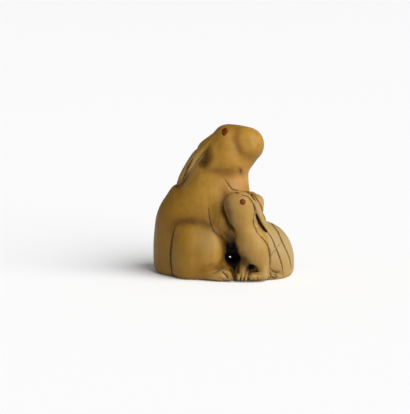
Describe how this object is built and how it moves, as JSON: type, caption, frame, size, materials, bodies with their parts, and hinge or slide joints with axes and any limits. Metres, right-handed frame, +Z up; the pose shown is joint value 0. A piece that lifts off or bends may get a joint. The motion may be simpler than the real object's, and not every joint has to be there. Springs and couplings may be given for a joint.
{
  "type": "netsuke",
  "caption": "Carved ivory netsuke of a seated rabbit sheltering its young, with inlaid eyes, a flat foot and a passage for the cord of a hanging purse.",
  "frame": {"origin": "under the middle of the whole carving, on the flat foot", "axes": "+Z up, +X the way the adult's muzzle points, -Y towards the young and the side that is shown"},
  "size_m": [0.0388, 0.0258, 0.0416],
  "materials": {
    "ivory": "old polished ivory, stained brown in its recesses",
    "inlaid_eye": "polished dark red inlay"
  },
  "bodies": {
    "root": {"ivory_carving": "ivory", "adult_right_eye": "inlaid_eye", "adult_left_eye": "inlaid_eye", "young_eye": "inlaid_eye"}
  },
  "joints": []
}
